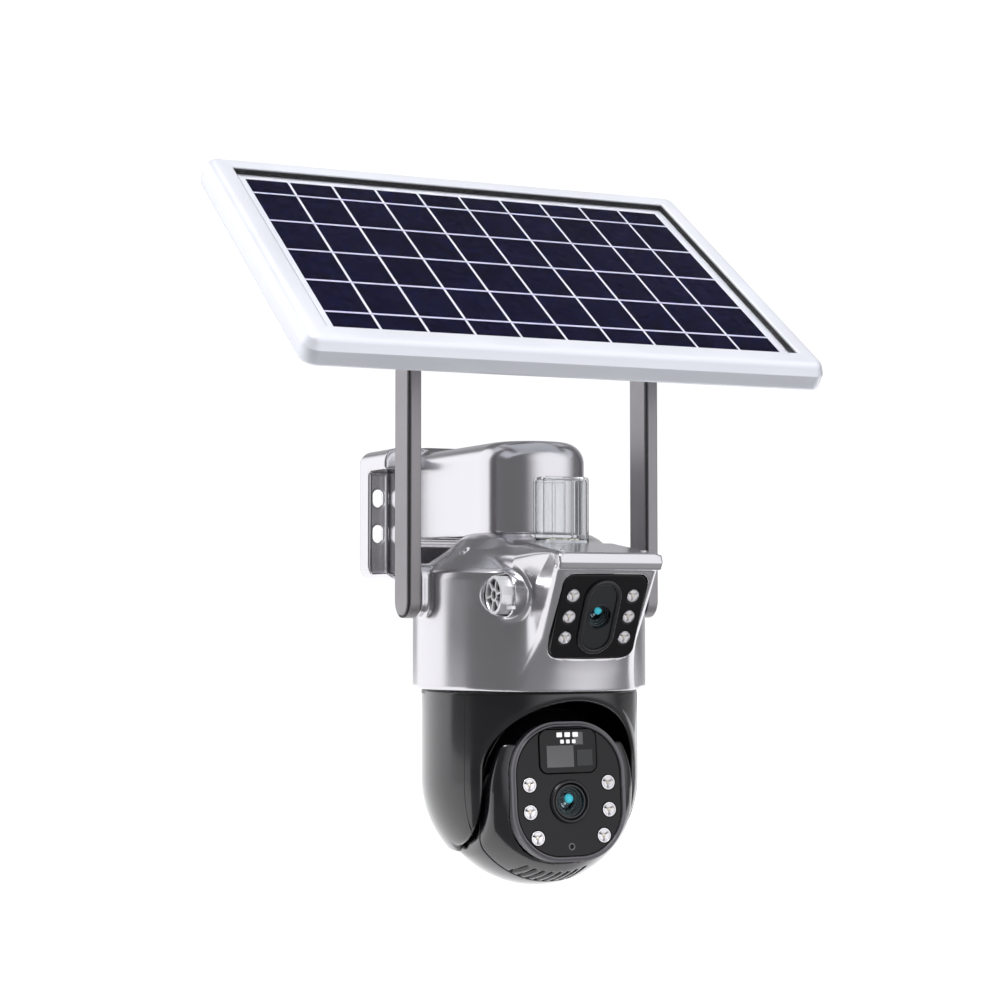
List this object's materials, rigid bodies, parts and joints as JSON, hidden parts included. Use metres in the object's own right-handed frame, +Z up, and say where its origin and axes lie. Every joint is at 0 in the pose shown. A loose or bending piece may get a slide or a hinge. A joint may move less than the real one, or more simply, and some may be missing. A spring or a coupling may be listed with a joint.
{
  "type": "solar-powered security camera",
  "caption": "Wall-mounted security camera with a fixed lens in its silver housing, a turning and tilting ball head below, and a sloped solar panel on two arms.",
  "frame": {"origin": "centre of the wall base's back face, on the wall plane", "axes": "+Z up, +Y into the wall, the camera looks along -Y, +X to the right when seen from the front"},
  "size_m": [0.32, 0.241, 0.4254],
  "materials": {
    "silver_shell": "silver painted, satin gloss",
    "black_shell": "polished black",
    "black_window": "mirror-gloss black",
    "black_satin": "satin black",
    "lens_glass": "coated glass",
    "clear_cover": "clear",
    "led_reflector": "metallised",
    "led_chip": "glossy",
    "circuit_board": "solder mask",
    "steel": "plated",
    "motor_can": "satin",
    "gear_plastic": "moulded",
    "rubber_seal": "matte",
    "cell_wrap": "shrink wrap",
    "arm_paint": "grey paint",
    "panel_frame": "silver anodised",
    "panel_glass": "clear",
    "solar_cell": "polycrystalline silicon",
    "backsheet": "white film",
    "speaker": "paper cone"
  },
  "bodies": {
    "housing": {"wall_bracket": "silver_shell", "bracket_screws": "steel", "upper_housing": "silver_shell", "base_plate": "gear_plastic", "base_plate_screws": "steel", "housing_seal": "rubber_seal", "fixed_window": "black_window", "window_seal": "rubber_seal", "fixed_lens_bezel": "black_satin", "fixed_lens_barrel": "black_satin", "fixed_lens_glass": "lens_glass", "fixed_led_reflectors": "led_reflector", "fixed_led_chips": "led_chip", "fixed_lens_board": "circuit_board", "beacon_cover": "clear_cover", "beacon_board": "circuit_board", "beacon_leds": "led_chip", "speaker_driver": "speaker", "speaker_grille": "speaker", "battery_cells": "cell_wrap", "main_board": "circuit_board", "pan_motor": "motor_can", "pan_bush": "gear_plastic", "thrust_washer": "gear_plastic", "charge_port": "steel", "port_plug": "rubber_seal", "arm_pivot_bolts": "steel"},
    "reset_button": {"reset_button": "black_satin"},
    "pan_pinion": {"pan_pinion": "gear_plastic"},
    "solar_arms": {"left_arm": "arm_paint", "right_arm": "arm_paint", "arm_trims": "black_satin"},
    "solar_panel": {"panel_frame": "panel_frame", "panel_backsheet": "backsheet", "panel_cells": "solar_cell", "panel_glass": "panel_glass", "panel_seal": "rubber_seal", "panel_rails": "arm_paint", "junction_box": "black_satin", "panel_brackets": "arm_paint", "panel_hinge_pins": "steel"},
    "yoke": {"yoke_shell": "black_shell", "pan_gear": "gear_plastic", "tilt_gear": "gear_plastic", "tilt_pivot": "gear_plastic"},
    "head": {"head_front_shell": "black_shell", "head_rear_shell": "black_shell", "face_plate": "black_window", "face_rim": "black_satin", "sensor_window": "black_window", "pir_sensor": "motor_can", "head_lens_ring": "black_satin", "head_lens_barrel": "black_satin", "head_lens_glass": "lens_glass", "head_led_reflectors": "led_reflector", "head_led_chips": "led_chip", "head_board": "circuit_board", "tilt_motor": "motor_can"},
    "tilt_pinion": {"tilt_pinion": "gear_plastic"}
  },
  "joints": [
    {"name": "head_pan", "type": "hinge", "parent": "housing", "child": "yoke", "pos_m": [0, -0.138, -0.102], "axis": [0, 0, 1], "range_deg": [-175, 175]},
    {"name": "head_tilt", "type": "hinge", "parent": "yoke", "child": "head", "pos_m": [0, -0.145, -0.1545], "axis": [1, 0, 0], "range_deg": [-10, 85]},
    {"name": "solar_arm_swing", "type": "hinge", "parent": "housing", "child": "solar_arms", "pos_m": [0, -0.138, -0.0525], "axis": [1, 0, 0], "range_deg": [-2, 30]},
    {"name": "solar_panel_tilt", "type": "hinge", "parent": "solar_arms", "child": "solar_panel", "pos_m": [0, -0.138, 0.093], "axis": [1, 0, 0], "range_deg": [-6, 25]},
    {"name": "pan_pinion_spin", "type": "hinge", "parent": "housing", "child": "pan_pinion", "pos_m": [0.036, -0.138, -0.09], "axis": [0, 0, 1], "range_deg": [-880, 880]},
    {"name": "tilt_pinion_spin", "type": "hinge", "parent": "head", "child": "tilt_pinion", "pos_m": [0, -0.1428, -0.17539], "axis": [1, 0, 0], "range_deg": [-30, 216]},
    {"name": "reset_press", "type": "slide", "parent": "housing", "child": "reset_button", "axis": [0, -1, 0], "range_m": [0, 0.001], "stiffness_N_per_m": 800, "springref_m": -0.0005}
  ],
  "couplings": [
    {"joint": "pan_pinion_spin", "follows": "head_pan", "ratio": -5},
    {"joint": "tilt_pinion_spin", "follows": "head_tilt", "ratio": 2.5}
  ]
}
